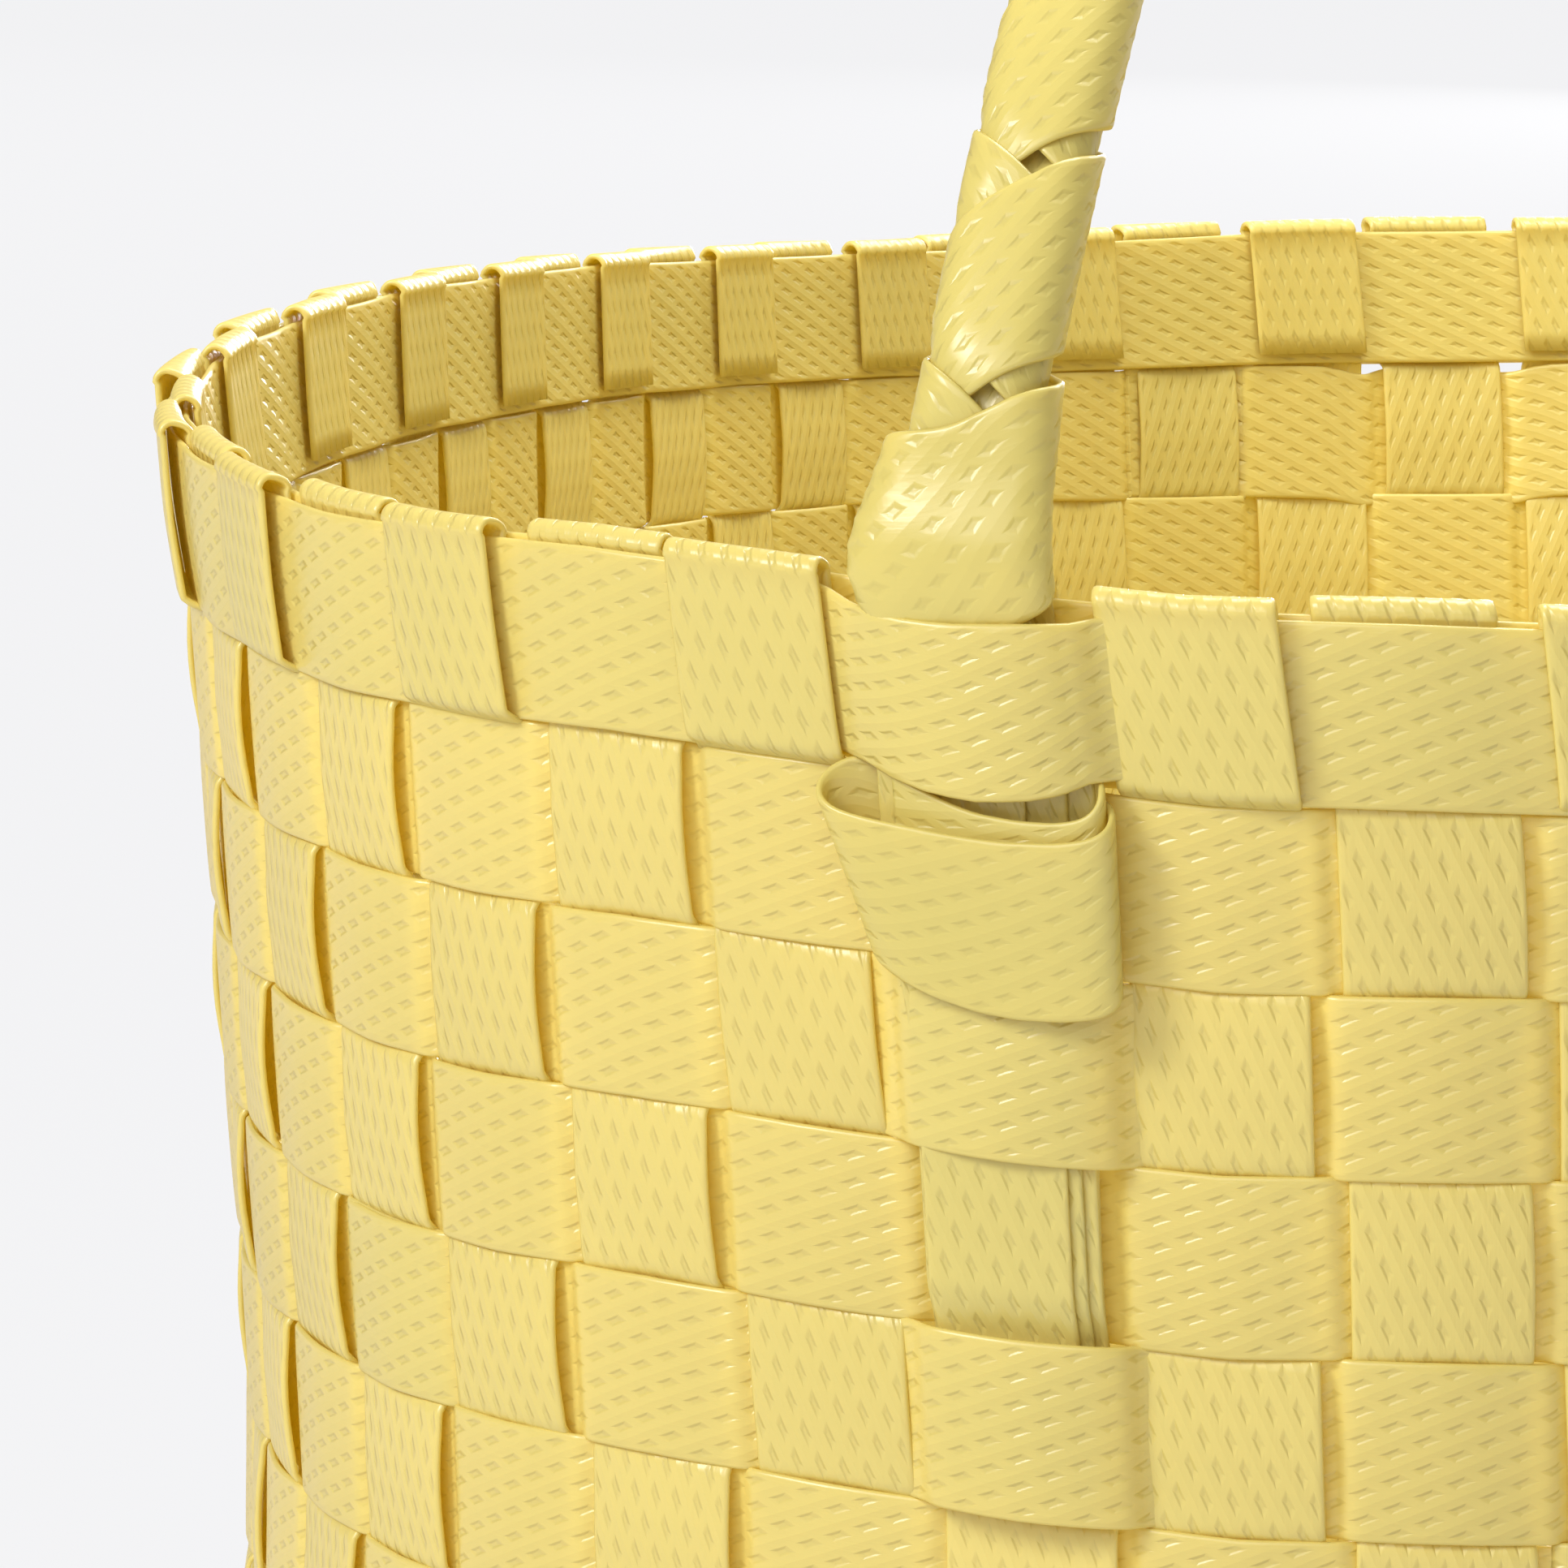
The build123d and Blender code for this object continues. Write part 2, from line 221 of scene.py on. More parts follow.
# ---------------------------------------------------------------- materials
def strap_material(name, colour, through_share=0.30, bump=0.000092, rough=0.31):
    """Embossed polypropylene: slanting dents and ridges along the strap, a plain selvedge."""
    mat = bpy.data.materials.new(name)
    mat.use_nodes = True
    nodes, links = mat.node_tree.nodes, mat.node_tree.links
    nodes.clear()

    def node(kind, **values):
        made = nodes.new(kind)
        for key, value in values.items():
            setattr(made, key, value)
        return made

    def maths(operation, a, b=None, clamp=False):
        made = node("ShaderNodeMath", operation=operation, use_clamp=clamp)
        for socket, value in zip(made.inputs, (a, b)):
            if value is None:
                continue
            if isinstance(value, (int, float)):
                socket.default_value = value
            else:
                links.new(value, socket)
        return made.outputs[0]

    place = node("ShaderNodeAttribute", attribute_name="strap")
    split = node("ShaderNodeSeparateXYZ")
    links.new(place.outputs["Vector"], split.inputs[0])
    u, v, tone = split.outputs

    across = maths("DIVIDE", u, 1.82)
    along = maths("DIVIDE", v, 4.2)
    sides = []
    for operation in ("ADD", "SUBTRACT"):
        part = maths("FRACT", maths(operation, across, along))
        sides.append(maths("ABSOLUTE", maths("SUBTRACT", maths("MULTIPLY", part, 2.0), 1.0)))
    long_way, short_way = maths("MULTIPLY", sides[0], 0.86), maths("MULTIPLY", sides[1], 1.6)
    from_middle = maths("MAXIMUM", long_way, short_way)
    wall_up = node("ShaderNodeMapRange", interpolation_type="SMOOTHSTEP")
    wall_up.inputs["From Min"].default_value = 0.18
    wall_up.inputs["From Max"].default_value = 0.64
    links.new(from_middle, wall_up.inputs["Value"])
    lattice = wall_up.outputs["Result"]
    selvedge = maths("DIVIDE", maths("SUBTRACT", 5.8, maths("ABSOLUTE", u)), 0.35, clamp=True)
    ridges = maths("MULTIPLY", maths("MULTIPLY", sides[1], sides[1]), 0.55)
    flat = maths("SUBTRACT", maths("ADD", lattice, ridges), 1.0)
    height = maths("MULTIPLY", flat, selvedge)

    stretch = node("ShaderNodeMapping")
    stretch.inputs["Scale"].default_value = (2.2, 0.16, 1.0)
    links.new(place.outputs["Vector"], stretch.inputs["Vector"])
    fibres = node("ShaderNodeTexNoise")
    fibres.inputs["Scale"].default_value = 1.6
    fibres.inputs["Detail"].default_value = 3.0
    links.new(stretch.outputs[0], fibres.inputs["Vector"])
    height = maths("ADD", height, maths("MULTIPLY", fibres.outputs["Fac"], 0.25))

    bump_node = node("ShaderNodeBump")
    bump_node.inputs["Strength"].default_value = 1.0
    bump_node.inputs["Distance"].default_value = bump
    links.new(height, bump_node.inputs["Height"])

    coords = node("ShaderNodeTexCoord")
    patches = node("ShaderNodeTexNoise")
    patches.inputs["Scale"].default_value = 45.0
    patches.inputs["Detail"].default_value = 2.0
    links.new(coords.outputs["Object"], patches.inputs["Vector"])
    # Colour: random patches and each strap's own tone, plus painted shade, the dents of the embossing painted
    # darker than its ridges.
    tone_and_dent_shade = maths("ADD", maths("MULTIPLY", patches.outputs["Fac"], 0.12), maths("MULTIPLY", lattice, 0.07))
    tone_and_dent_shade = maths("ADD", maths("ADD", tone_and_dent_shade, tone), 0.885)
    tint = node("ShaderNodeMix", data_type="RGBA", blend_type="MULTIPLY")
    tint.inputs["Factor"].default_value = 1.0
    tint.inputs["A"].default_value = (*colour, 1.0)
    grey = node("ShaderNodeCombineColor")
    for socket in grey.inputs[:3]:
        links.new(tone_and_dent_shade, socket)
    links.new(grey.outputs[0], tint.inputs["B"])

    body = node("ShaderNodeBsdfPrincipled")
    body.inputs["Roughness"].default_value = rough
    body.inputs["Specular IOR Level"].default_value = 0.8
    links.new(tint.outputs["Result"], body.inputs["Base Color"])
    links.new(bump_node.outputs[0], body.inputs["Normal"])
    through = node("ShaderNodeBsdfTranslucent")
    through.inputs["Color"].default_value = (*GLOW, 1.0)
    links.new(bump_node.outputs[0], through.inputs["Normal"])
    mix = node("ShaderNodeMixShader")
    mix.inputs[0].default_value = through_share
    links.new(body.outputs[0], mix.inputs[1])
    links.new(through.outputs[0], mix.inputs[2])
    out = node("ShaderNodeOutputMaterial")
    links.new(mix.outputs[0], out.inputs["Surface"])
    return mat


YELLOW = (0.85, 0.735, 0.225)
GLOW = (0.99, 0.78, 0.10)
upright_material = strap_material("upright strap", YELLOW)
band_material = strap_material("band strap", (0.85, 0.73, 0.22))
wrap_material = strap_material("handle wrap", (0.80, 0.69, 0.20), through_share=0.28, bump=0.00006)
tail_material = strap_material("handle strap", (0.83, 0.72, 0.22))

# ---------------------------------------------------------------- upright straps
# Uprights beside a handle foot stand aside at the rim: mm along it, and the rows this fades over.
SHIFT = {-1: (-1.6, 2.6), 1: (0.3, 2.0), 0: (-0.4, 2.5), 29: (-0.5, 2.0), 31: (1.0, 2.4)}


def stake_profile(k):
    """(out, z) along a stake from its folded end, over the rim and down to the foot."""
    lap, back, end = (RIM_LAP, 0.0, RIM - 9.0) if k % 2 else (0.0, -RIM_LAP, RIM - ROW + 1.2)
    turn = RIM + 0.1
    radius = (lap - back) / 2
    outs = [np.full(7, back)]
    zs = [np.linspace(end, turn, 7)]
    bend = np.linspace(math.pi, 0, 15)[1:-1]
    outs.append((lap + back) / 2 + radius * 1.22 * np.cos(bend))
    zs.append(turn + radius * 1.35 * np.sin(bend))
    step = np.concatenate([np.linspace(0, 0.86, 10), np.linspace(0.89, 1.11, 10)])
    levels = [step]
    for row in range(2, ROW_COUNT + 1):
        levels.append(np.concatenate([np.linspace(0.15, 0.85, 7), np.linspace(0.89, 1.11, 8)]) + row - 1)
    level = np.concatenate(levels)
    level = level[level < ROW_COUNT - 0.01]
    q = np.abs(np.sin(math.pi * level))
    row_of = np.floor(level).astype(int) + 1
    sign = np.where((k + row_of) % 2 == 0, 1.0, -1.0)
    out = weave(q * sign, 9.0, 0.30)
    first = lap + (0.12 if k % 2 else 0.0) * np.sin(math.pi * np.clip(level, 0, 1))
    to_rim = 1 - smooth((level - 0.93) / 0.10)
    out = np.where(level < 1.04, first * to_rim + np.where(level < 1, 0, out) * (1 - to_rim), out)
    outs.append(out)
    zs.append(RIM - level * ROW + (0.1 * (1 - smooth(level / 0.3))))
    return np.concatenate(outs), np.concatenate(zs)


def wall_stake(k, u, wobble):
    """Mid-surface grid of one stake on the wall, from its folded end to its foot."""
    out, z = stake_profile(k)
    s = k * PITCH + np.zeros_like(z)
    level = (RIM - z) / ROW
    beside = (k + 1) % STAKES - 1
    if beside in SHIFT:
        move, fade = SHIFT[beside]
        s = s + move * np.clip(1 - (level - 0.8) / fade, 0, 1)
    s = s + wobble[0] * np.sin(level * 1.1 + wobble[1])
    scale = 1 - TAPER * (RIM - z) / RIM
    crown = -0.10 * (np.abs(u) / 6) ** 3
    proud = np.clip(out, 0, 0.6)[:, None] / 0.6 * (0.38 * u[None, :] / 6)
    out = out[:, None] + crown[None, :] + proud
    return wall(s[:, None] + u[None, :] / scale[:, None], z[:, None], out)


# Heights of the base straps, each kind alternating between two: no two that touch share a height.
BASE_LENGTHWISE, BASE_CROSS = (0.36, 1.60), (0.98, 2.22)


def foot_point(k):
    """Wall centre, tangent and outward normal at stake k's foot."""
    a, b = wall(k * PITCH - 2, WALL_FOOT, 0.0), wall(k * PITCH + 2, WALL_FOOT, 0.0)
    tangent = (b - a)[:2] / np.linalg.norm((b - a)[:2])
    return (a + b)[:2] / 2, tangent, np.array([tangent[1], -tangent[0]])


FEET = {k: foot_point(k) for k in range(-STAKES // 2, STAKES // 2 + 1)}


def base_grid(near, far, u, number, lengthwise):
    """Mid-surface grid of a strap's run across the base, foot to foot."""
    (p0, t0, n0), (p1, t1, n1) = FEET[near], FEET[far]
    reach = 30.0 if lengthwise else 24.0
    a0, a1 = p0 - n0 * 1.0, p1 - n1 * 1.0
    b0, b1 = p0 - n0 * reach * 0.45, p1 - n1 * reach * 0.45
    if lengthwise:
        c0, c1 = np.array([p0[0], p0[1] + reach]), np.array([p1[0], p1[1] - reach])
    else:
        c0, c1 = np.array([p0[0] - reach, p0[1]]), np.array([p1[0] + reach, p1[1]])
    t = np.linspace(0, 1, 14)[:, None]
    start = (1 - t) ** 2 * a0 + 2 * t * (1 - t) * b0 + t ** 2 * c0
    stop = ((1 - t) ** 2 * a1 + 2 * t * (1 - t) * b1 + t ** 2 * c1)[::-1]
    count = int(np.linalg.norm(c1 - c0) / 2.2)
    mid = np.linspace(c0, c1, count)[1:-1]
    line = np.concatenate([start, mid, stop])
    direction = np.gradient(line, axis=0)
    direction /= np.linalg.norm(direction, axis=1, keepdims=True)
    across = np.stack([direction[:, 1], -direction[:, 0]], axis=1)
    layer = (BASE_LENGTHWISE if lengthwise else BASE_CROSS)[number % 2]
    ends = np.minimum(run_length(line), run_length(line[::-1])[::-1])
    z = layer + 1.1 * np.exp(-(ends / 1.6) ** 2)
    grid = np.zeros((len(line), len(u), 3))
    grid[..., :2] = line[:, None, :] + across[:, None, :] * u[None, :, None]
    grid[..., 2] = z[:, None]
    return grid


pairs = [(k, STAKES // 2 - k, True) for k in range(-LENGTHWISE, LENGTHWISE + 1)]
pairs += [(k, -k, False) for k in range(LENGTHWISE + 1, STAKES // 2 - LENGTHWISE)]
full = across_samples(STRAP_WIDTH / 2)
for number, (near, far, lengthwise) in enumerate(pairs):
    far = far if far <= STAKES // 2 else far - STAKES
    wobble = rng.uniform([0.05, 0], [0.28, 6.28], (2, 2))
    first = wall_stake(near, full, wobble[0])
    last = wall_stake(far, full, wobble[1])[::-1, ::-1]
    base = base_grid(near, far, full, number, lengthwise)
    grid = np.concatenate([first, base, last])
    centre = run_length(grid[:, len(full) // 2])
    name = f"strap_lengthwise_{number + 1}" if lengthwise else f"strap_cross_{number - 2 * LENGTHWISE}"
    along = centre + rng.uniform(0, 50)
    piece = strap_mesh("look_" + name, grid, full, along, tone=rng.uniform(-0.02, 0.03))
    finish_piece(piece, name, upright_material)

# ---------------------------------------------------------------- row and rim bands
def near_handle(s, at, values):
    """Values given against the distance along the rim from each handle foot, zero elsewhere."""
    d = (s + GIRTH / 4) % (GIRTH / 2) - GIRTH / 4
    return np.interp(d, at, values)


BULGE_AT = (-11.5, -9.6, -7.8, -5.6, -3.0, 0.0, 3.0, 5.4, 7.2, 8.6, 10.5)
BULGE_OUT = (0.0, 0.55, 1.9, 3.05, 3.65, 3.8, 3.65, 3.1, 2.1, 0.9, 0.0)
TOP_SAG = (0.0, 0.4, 0.85, 1.25, 1.4, 1.3, 1.05, 0.9, 0.8, 0.5, 0.0)
LOW_SAG = (-1.2, -0.9, -0.7, 0.0, 0.55, 0.7, 0.45, -0.1, -0.9, -1.1, -1.2)


# Where a band is sampled between one gap of the uprights and the next, finest at the gaps.
ALONG_BAND = (0, 0.02, 0.04, 0.065, 0.1, 0.16, 0.26, 0.38, 0.5, 0.62, 0.74, 0.84, 0.9, 0.935, 0.96, 0.98)
# Two places at the far side where daylight shows between the rim row and the next.
ROW_GAPS = (-26.43, -27.43)


def band_grid(row, out_of, u, start, sag=False, lift=0.0):
    travel = (np.arange(STAKES + 1)[:, None] + np.array(ALONG_BAND)[None, :]).reshape(-1) * PITCH
    travel = np.append(travel, (STAKES + 1) * PITCH)
    s = start + travel
    wander = 0.12 * np.sin(s * 0.031 + row) + 0.08 * np.sin(s * 0.113 + 2 * row)
    z = RIM - (row - 0.5) * ROW + lift + wander[:, None] + u[None, :]
    if row == 2:
        for gap in ROW_GAPS:
            apart = (s - gap * PITCH + GIRTH / 2) % GIRTH - GIRTH / 2
            z = z - 0.85 * np.exp(-(apart / 3.0) ** 2)[:, None]
    if sag:
        high = 0.5 + u[None, :] / 12
        top, low = near_handle(s, BULGE_AT, TOP_SAG), near_handle(s, BULGE_AT, LOW_SAG)
        z = z - top[:, None] * high - (low * (np.abs(top) > 0))[:, None] * (1 - high)
    lapped = smooth((travel - GIRTH) / 6.0) * 0.45
    crown = -0.10 * (np.abs(u) / 6) ** 3
    return wall(s[:, None], z, (out_of(s) - lapped)[:, None] + crown[None, :])


for row in range(2, ROW_COUNT + 1):
    flip = 1.0 if row % 2 else -1.0

    def level_of(s, row=row, flip=flip):
        q = np.sin(math.pi * ((s - 0.30) / PITCH + 0.5)) * flip
        out = weave(q, 7.5, BELLY)
        if row in (3, 5):
            rise = 0.72 if row == 3 else 0.62
            out = out + rise * near_handle(s, BULGE_AT, BULGE_OUT)
        return out

    u = across_samples(6.14)
    grid = band_grid(row, level_of, u, (20.5 + 7 * row) * PITCH)
    centre = run_length(grid[:, len(u) // 2])
    name = f"row_band_{row}"
    along = centre + rng.uniform(0, 50)
    piece = strap_mesh("look_" + name, grid, u, along, tone=rng.uniform(-0.02, 0.02))
    finish_piece(piece, name, band_material)


def outer_level(s):
    q = np.sin(math.pi * (s / PITCH + 0.5))
    return RIM_BAND + 0.30 * np.clip(q, 0, 1) ** 1.5 + near_handle(s, BULGE_AT, BULGE_OUT) * 0.97


def inner_level(s):
    q = np.sin(math.pi * (s / PITCH + 0.5))
    return -RIM_BAND - 0.30 * np.clip(-q, 0, 1) ** 1.5


for name, level_of, sag, lift, begin in (
    ("rim_band_outer", outer_level, True, -0.1, 22.5),
    ("rim_band_inner", inner_level, False, 0.15, 11.5),
):
    u = across_samples(6.06)
    grid = band_grid(1, level_of, u, begin * PITCH, sag=sag, lift=lift)
    centre = run_length(grid[:, len(u) // 2])
    piece = strap_mesh("look_" + name, grid, u, centre, tone=0.0)
    finish_piece(piece, name, band_material)

# ---------------------------------------------------------------- handle tails and lock loops
# Each tail: mm out of the wall, its middle along the rim at the top and at row 4, half its width.
TAILS = ((1.62, 1.4, 0.2, 5.9), (2.10, -0.1, -0.4, 5.6), (2.58, -2.2, -0.7, 5.0))
# The lock loop's upper and lower edges as mm (along the rim, out of the wall, above the rim): from its
# cut end, round the right side, behind the tails, round the open left side and across the front.
LOOP_HIGH = np.array([
    (-6.1, 2.95, -11.8), (-4.2, 3.35, -12.65), (-2.2, 3.6, -13.3), (-0.3, 3.75, -13.8),
    (2.4, 3.85, -14.0), (5.1, 3.85, -13.9), (7.0, 3.75, -13.4), (7.9, 3.3, -12.3),
    (8.0, 2.6, -11.4), (7.8, 1.6, -11.0), (7.0, 0.9, -11.0), (0, 0.8, -11.2),
    (-7, 0.85, -11.2), (-9.4, 1.6, -11.4), (-10.7, 2.6, -12.2), (-11.1, 3.6, -13.1),
    (-10.6, 4.5, -13.9), (-9.4, 5.0, -14.4), (-7.5, 5.15, -14.7), (-5.2, 5.15, -14.9),
    (-1.6, 5.05, -15.2), (1.8, 4.95, -15.3), (5.2, 4.85, -15.05), (7.4, 4.65, -14.6),
    (8.5, 4.1, -13.8), (8.65, 3.2, -13.2), (8.4, 1.9, -12.6), (7.7, 1.35, -12.4)])
LOOP_LOW = np.array([
    (-6.0, 3.0, -23.4), (-4.1, 3.25, -24.0), (-2.1, 3.4, -24.3), (-0.2, 3.5, -24.4),
    (2.4, 3.6, -24.4), (5.1, 3.6, -24.3), (7.0, 3.5, -24.2), (7.8, 3.0, -24.0),
    (7.9, 2.4, -23.7), (7.7, 1.5, -23.2), (7.0, 0.9, -23.0), (0, 0.8, -23.0),
    (-6, 0.9, -23.0), (-7.4, 1.1, -23.2), (-8.1, 1.5, -23.5), (-8.3, 2.0, -24.0),
    (-7.9, 2.6, -24.5), (-6.9, 3.2, -25.0), (-5.6, 3.75, -25.6), (-3.8, 4.1, -26.2),
    (-0.8, 4.4, -26.8), (2.0, 4.5, -27.0), (5.2, 4.5, -26.8), (7.3, 4.3, -26.4),
    (8.4, 3.8, -25.8), (8.6, 3.0, -25.2), (8.3, 1.9, -24.6), (7.6, 1.35, -24.4)])


def eased(points, count, soft=7):
    """A smooth run through the points."""
    length = run_length(points)
    fine = np.linspace(0, length[-1], count)
    dense = np.stack([np.interp(fine, length, points[:, c]) for c in range(3)], axis=1)
    kernel = np.hanning(soft + 2)[1:-1]
    kernel /= kernel.sum()
    side = soft // 2
    padded = np.pad(dense, ((side, side), (0, 0)), mode="edge")
    return np.stack([np.convolve(padded[:, c], kernel, mode="valid") for c in range(3)], axis=1)


for end_name, home in (("near", 0.0), ("far", GIRTH / 2)):
    for number, (out, high, low, half) in enumerate(TAILS, 1):
        u = across_samples(half)
        level = np.linspace(0.15, 4.9, 90)
        z = RIM - level * ROW
        s = home + high + (low - high) * smooth((level - 1.4) / 1.4)
        depth = out - 1.15 * smooth((level - 3.72) / 0.3)
        crown = 0.08 * (np.abs(u)[None, :] / 6) ** 3
        grid = wall(s[:, None] + u[None, :], z[:, None], depth[:, None] - crown)
        centre = run_length(grid[:, len(u) // 2])
        name = f"handle_tail_{end_name}_{number}"
        piece = strap_mesh("look_" + name, grid, u, centre + 13 * number, thickness=0.42, tone=-0.02)
        finish_piece(piece, name, tail_material)

    high, low = eased(LOOP_HIGH, 170), eased(LOOP_LOW, 170)
    u = across_samples(STRAP_WIDTH / 2)
    share = (0.5 + u / STRAP_WIDTH)[None, :, None]
    path = low[:, None, :] * (1 - share) + high[:, None, :] * share
    grid = wall(home + path[..., 0], RIM + path[..., 2], path[..., 1])
    centre = run_length(grid[:, len(u) // 2])
    name = f"lock_loop_{end_name}"
    piece = strap_mesh("look_" + name, grid, u, centre, thickness=0.45, tone=0.0)
    finish_piece(piece, name, wrap_material)

# ---------------------------------------------------------------- handle
START_ANGLE = math.asin((AXIS - ARC_CENTRE) / BAIL_RADIUS)
ARC_LENGTH = (math.pi - 2 * START_ANGLE) * BAIL_RADIUS
NEAR_FOOT = -wall(0.0, RIM, 2.2)[1]
FAR_FOOT = wall(GIRTH / 2, RIM, 2.2)[1]


def bail(t):
    """Centre, tangent and outward direction of the handle, t mm along it from the near foot."""
    t = np.asarray(t, float)
    angle = START_ANGLE + np.clip(t, 0, ARC_LENGTH) / BAIL_RADIUS
    beyond = np.minimum(t, 0) + np.minimum(ARC_LENGTH - t, 0)
    near = 1 - smooth((t + 1) / 15)
    far = 1 - smooth((ARC_LENGTH - t + 1) / 15)
    y = -BAIL_RADIUS * np.cos(angle) + near * (BAIL_LEG - NEAR_FOOT) - far * (BAIL_LEG - FAR_FOOT)
    z = ARC_CENTRE + BAIL_RADIUS * np.sin(angle) + beyond
    x = -0.7 * np.cos(math.pi * t / ARC_LENGTH) - 1.1 * near + 1.1 * far
    upright = smooth((5 - np.minimum(t, ARC_LENGTH - t)) / 8)
    sense = np.where(t < ARC_LENGTH / 2, 1.0, -1.0)
    ty = np.sin(angle) * (1 - upright)
    tz = np.cos(angle) * (1 - upright) + sense * upright
    size = np.hypot(ty, tz)
    ty, tz = ty / size, tz / size
    nil = np.zeros_like(y)
    return np.stack([x, y, z], -1), np.stack([nil, ty, tz], -1), np.stack([nil, -tz, ty], -1)


def foot_distance(t):
    return np.minimum(t, ARC_LENGTH - t)


def squeeze(t):
    """The handle is pressed flat where it passes between the rim bands."""
    return 0.34 + 0.26 * smooth((foot_distance(t) + 8) / 5) + 0.40 * smooth((foot_distance(t) - 2) / 10)


# Rounded section of the handle, by distance round it from its outward side towards +X.
_turn = np.linspace(-math.pi, math.pi, 2001)
_radius = (np.abs(np.sin(_turn) / 3.85) ** 2.7 + np.abs(np.cos(_turn) / 2.75) ** 2.7) ** (-1 / 2.7)
_sx, _so = _radius * np.sin(_turn), _radius * np.cos(_turn)
_round = np.concatenate([[0], np.cumsum(np.hypot(np.diff(_sx), np.diff(_so)))])
AROUND = _round[-1]
_round = _round - AROUND / 2


def section(g, grow):
    """(x, outward) of the section at g mm round it, grown by a few tenths of a mm."""
    g = (g + AROUND / 2) % AROUND - AROUND / 2
    x, o = np.interp(g, _round, _sx), np.interp(g, _round, _so)
    lead, trail = g + 0.4, g - 0.4
    dx = np.interp(lead, _round, _sx) - np.interp(trail, _round, _sx)
    do = np.interp(lead, _round, _so) - np.interp(trail, _round, _so)
    size = np.hypot(dx, do) + 1e-9
    return x - do / size * grow, o + dx / size * grow


for number in range(4):
    u = across_samples(2.75)
    t = np.linspace(-6.0, ARC_LENGTH + 6.0, 160)
    centre, tangent, outward = bail(t)
    mid = centre + outward * ((number - 1.5) * 0.95 * squeeze(t))[:, None]
    grid = mid[:, None, :] + np.array([1.0, 0, 0]) * u[None, :, None]
    name = f"handle_core_{number + 1}"
    piece = strap_mesh("look_" + name, grid, u, t + 9 * number, thickness=0.42, tone=-0.02)
    finish_piece(piece, name, tail_material, body=None)
    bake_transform(piece)

# Two straps of opposite hand are wound over and under each other round the cores.
WINDINGS = 24
FIRST = 0.0                          # mm along the handle where the first winding starts
WIND = (ARC_LENGTH - 2 * FIRST) / WINDINGS
RISE = WIND / AROUND
HELIX = math.atan(RISE)
CROSS = FIRST + 2 * RISE
END_LIFT, END_RUN = 5.2, 8.5         # the strap's ends climb behind the first and last windings
TOP_FROM, TOP_TO = 0.8, 9.4          # mm round the section where the over strap always lies on top
# Half width of the first windings against the distance from a foot, as a share of the handle's own.
FLARE_AT = (-9.0, -5.6, -3.4, 0.0, 3.4, 6.8, 11.0, 14.0)
FLARE_BY = (0.95, 1.34, 1.62, 1.54, 1.38, 1.27, 1.12, 1.0)


def wrap_grid(hand, first, last, u):
    wind = np.linspace(first, last, int((last - first) * 60))
    g = (hand * wind * AROUND)[:, None] - hand * u[None, :] * math.sin(HELIX)
    base = FIRST if hand > 0 else CROSS
    t = (base + wind * WIND)[:, None] + u[None, :] * math.cos(HELIX)
    if hand > 0:
        t = t + END_LIFT * (smooth(-g / END_RUN) - smooth((g - WINDINGS * AROUND) / END_RUN))
    other = (t - CROSS) / WIND + g / AROUND if hand > 0 else (t - FIRST) / WIND - g / AROUND
    over = np.tanh(3.2 * np.cos(math.pi * other)) / math.tanh(3.2)
    side = (g + AROUND / 2) % AROUND - AROUND / 2
    over = over + (1 - over) * smooth((side - TOP_FROM) / 1.4) * smooth((TOP_TO - side) / 1.4)
    grow = hand * 0.29 * over
    if hand > 0:
        turned = g / AROUND
        flared = 1 - smooth((turned - 0.26) / 0.25) * smooth((WINDINGS - turned - 0.26) / 0.25)
        grow = grow + 0.25 * flared
    else:
        flared = np.zeros_like(g)
    x, o = section(g, grow)
    wide = 1 + (np.interp(foot_distance(t), FLARE_AT, FLARE_BY) - 1) * flared
    wide = 1 + (wide - 1) * np.where(np.cos(math.pi * t / ARC_LENGTH) * x > 0, 0.82, 1.0)
    centre, tangent, outward = bail(t)
    grid = centre + outward * (o * squeeze(t))[..., None]
    grid[..., 0] += x * wide
    return grid


u = across_samples(STRAP_WIDTH / 2)
for name, hand, first, last in (
    ("handle_wrap_over", 1, -0.42, WINDINGS + 0.42),
    ("handle_wrap_under", -1, -0.12, WINDINGS - 0.1),
):
    grid = wrap_grid(hand, first, last, u)
    centre = run_length(grid[:, len(u) // 2])
    piece = strap_mesh("look_" + name, grid, u, centre, thickness=0.45, tone=0.01)
    finish_piece(piece, name, wrap_material, body=None)
    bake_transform(piece)

# ---------------------------------------------------------------- stage, light, camera
FLOOR_REACH = 14.0
FLOOR_Z = -0.0005
floor_mesh = bpy.data.meshes.new("floor")
floor_mesh.from_pydata(
    [(x * FLOOR_REACH, y * FLOOR_REACH, FLOOR_Z) for x, y in ((-1, -1), (1, -1), (1, 1), (-1, 1))],
    [], [(0, 1, 2, 3)])
floor = bpy.data.objects.new("floor", floor_mesh)
bpy.context.scene.collection.objects.link(floor)
floor_material = bpy.data.materials.new("pale floor")
floor_material.use_nodes = True
paint = floor_material.node_tree.nodes["Principled BSDF"]
paint.inputs["Base Color"].default_value = (0.02, 0.02, 0.02, 1)
paint.inputs["Roughness"].default_value = 0.9
paint.inputs["Specular IOR Level"].default_value = 0.0
paint.inputs["Emission Color"].default_value = (0.985, 0.985, 1.0, 1)
paint.inputs["Emission Strength"].default_value = 0.885
floor_mesh.materials.append(floor_material)

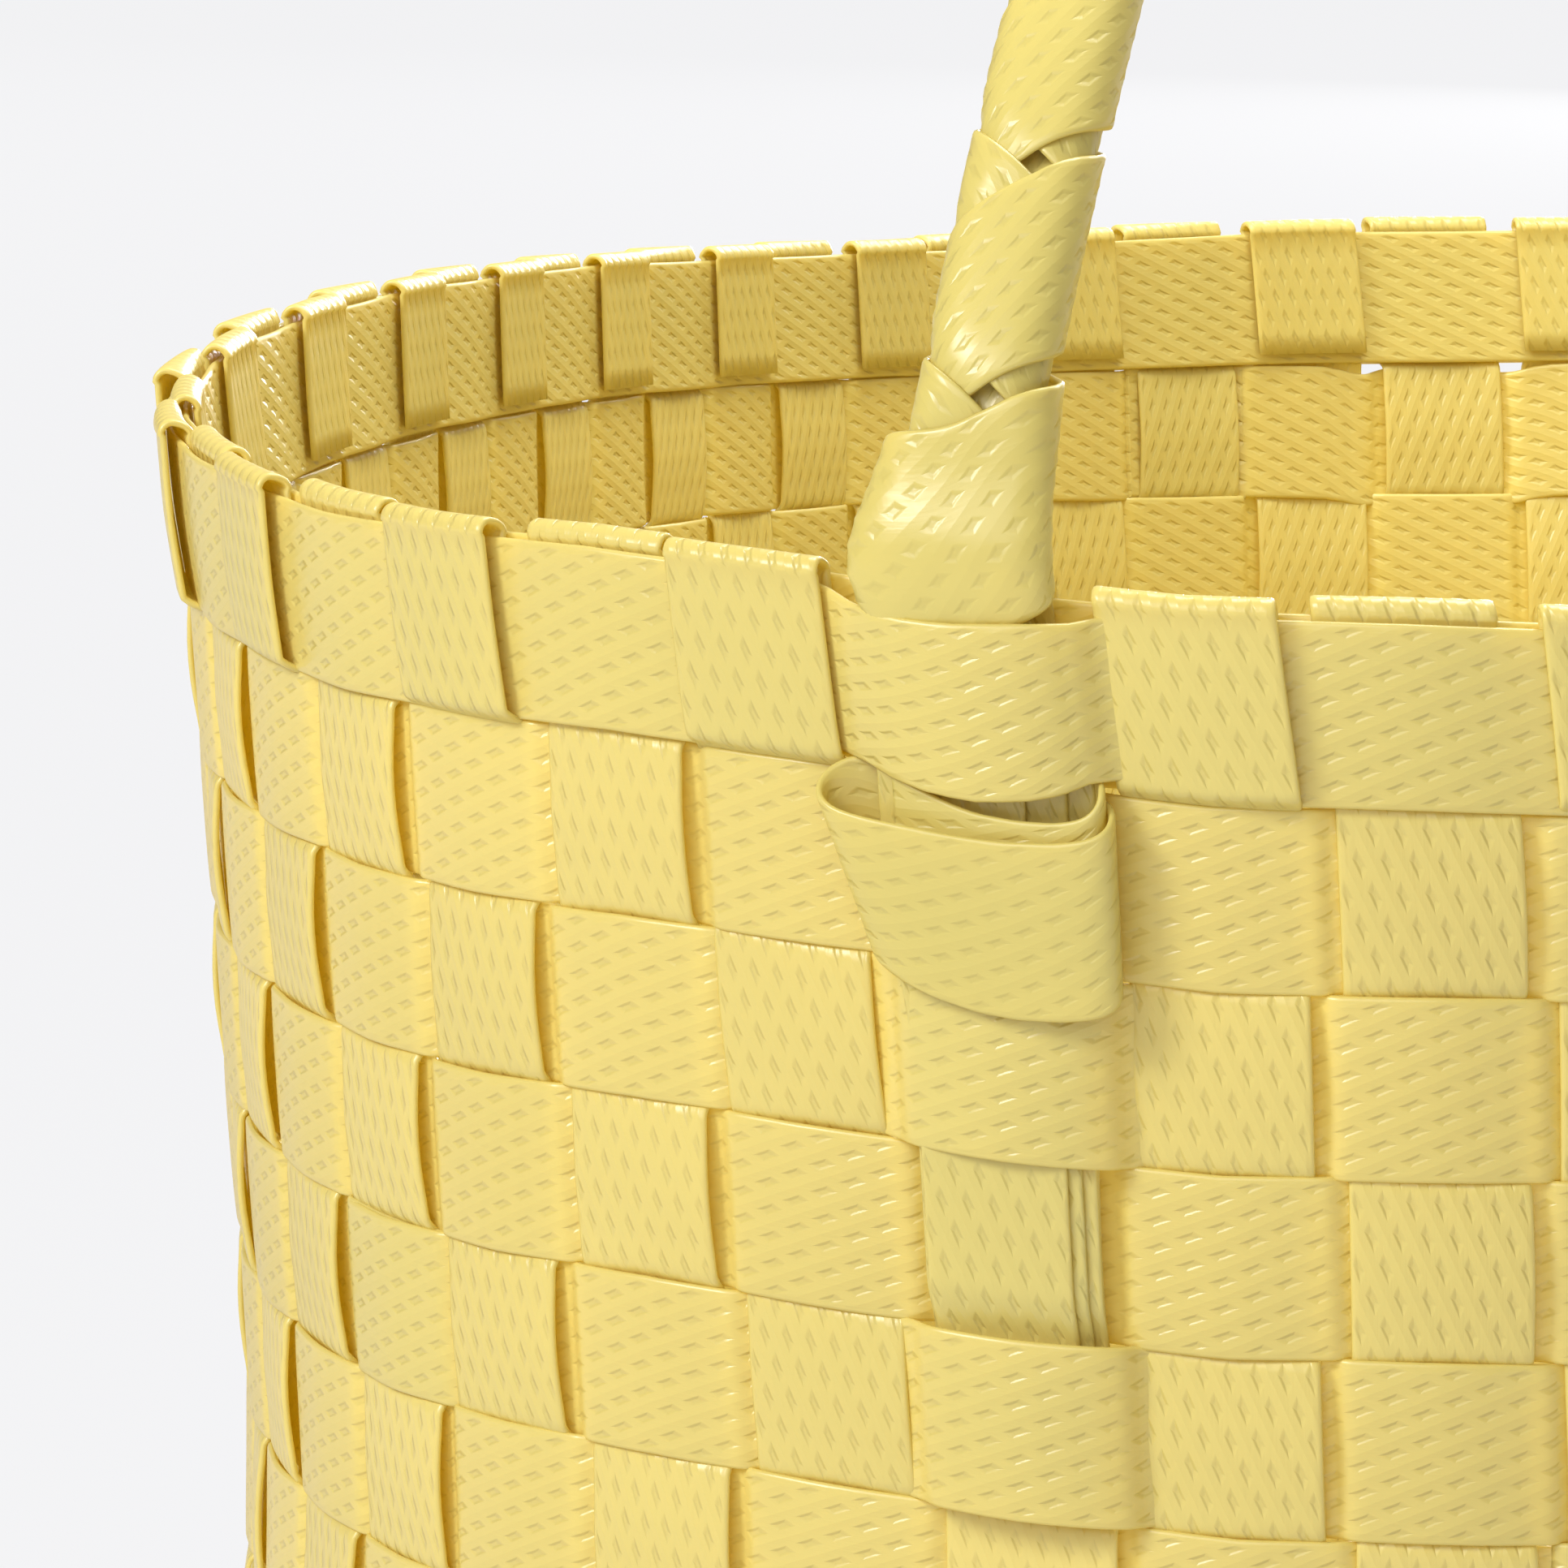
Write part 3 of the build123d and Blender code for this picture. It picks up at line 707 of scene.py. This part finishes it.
scene = bpy.context.scene
world = bpy.data.worlds.new("studio")
world.use_nodes = True
world.node_tree.nodes["Background"].inputs["Color"].default_value = (0.96, 0.98, 1.0, 1)
world.node_tree.nodes["Background"].inputs["Strength"].default_value = 0.28
scene.world = world
scene.view_settings.view_transform = "Standard"


def area_light(name, place, target, size, power, colour=(1, 1, 1)):
    data = bpy.data.lights.new(name, "AREA")
    data.shape = "SQUARE"
    data.size = size
    data.energy = power
    data.color = colour
    obj = bpy.data.objects.new(name, data)
    obj.location = place
    aim = Vector(target) - Vector(place)
    obj.rotation_euler = aim.to_track_quat("-Z", "Y").to_euler()
    scene.collection.objects.link(obj)


area_light("key", (-1.1, -1.4, 1.2), (0, -0.1, 0.12), 0.6, 24.0)
area_light("front", (-0.2, -2.2, 1.5), (0, 0, 0.12), 1.8, 23.5)
area_light("behind", (0.4, 2.2, 1.5), (0, 0, 0.1), 1.2, 32.0)
area_light("back", (0, 3.0, 2.4), (0, 2.6, 0.0), 3.0, 20.0)
area_light("inside", (0.03, 0.03, 0.52), (0.02, 0.12, 0.1), 0.22, 1.8)
area_light("low", (-0.3, 2.4, 0.36), (0, 0.1, 0.08), 0.5, 22.0)

# The camera's place, turn and focal length, solved from the strap pattern.
CAMERA = (150.17, -684.08, 207.97)
YAW, DIP, ROLL = -0.3043, 0.1497, 0.0256
camera_data = bpy.data.cameras.new("camera")
camera_data.sensor_width = 36.0
camera_data.lens = 10501.0 / 1932.0 * 36.0
camera_data.clip_start = 0.01
camera_data.clip_end = 60.0
camera = bpy.data.objects.new("camera", camera_data)
forward = Vector((math.sin(YAW) * math.cos(DIP), math.cos(YAW) * math.cos(DIP), -math.sin(DIP)))
right = Vector((math.cos(YAW), -math.sin(YAW), 0))
up = Vector((math.sin(YAW) * math.sin(DIP), math.cos(YAW) * math.sin(DIP), math.cos(DIP)))
turned_right = right * math.cos(ROLL) + up * math.sin(ROLL)
turned_up = up * math.cos(ROLL) - right * math.sin(ROLL)
basis = Matrix((turned_right, turned_up, -forward)).transposed().to_4x4()
camera.matrix_world = Matrix.Translation(Vector(CAMERA) * MM) @ basis
scene.collection.objects.link(camera)
scene.camera = camera
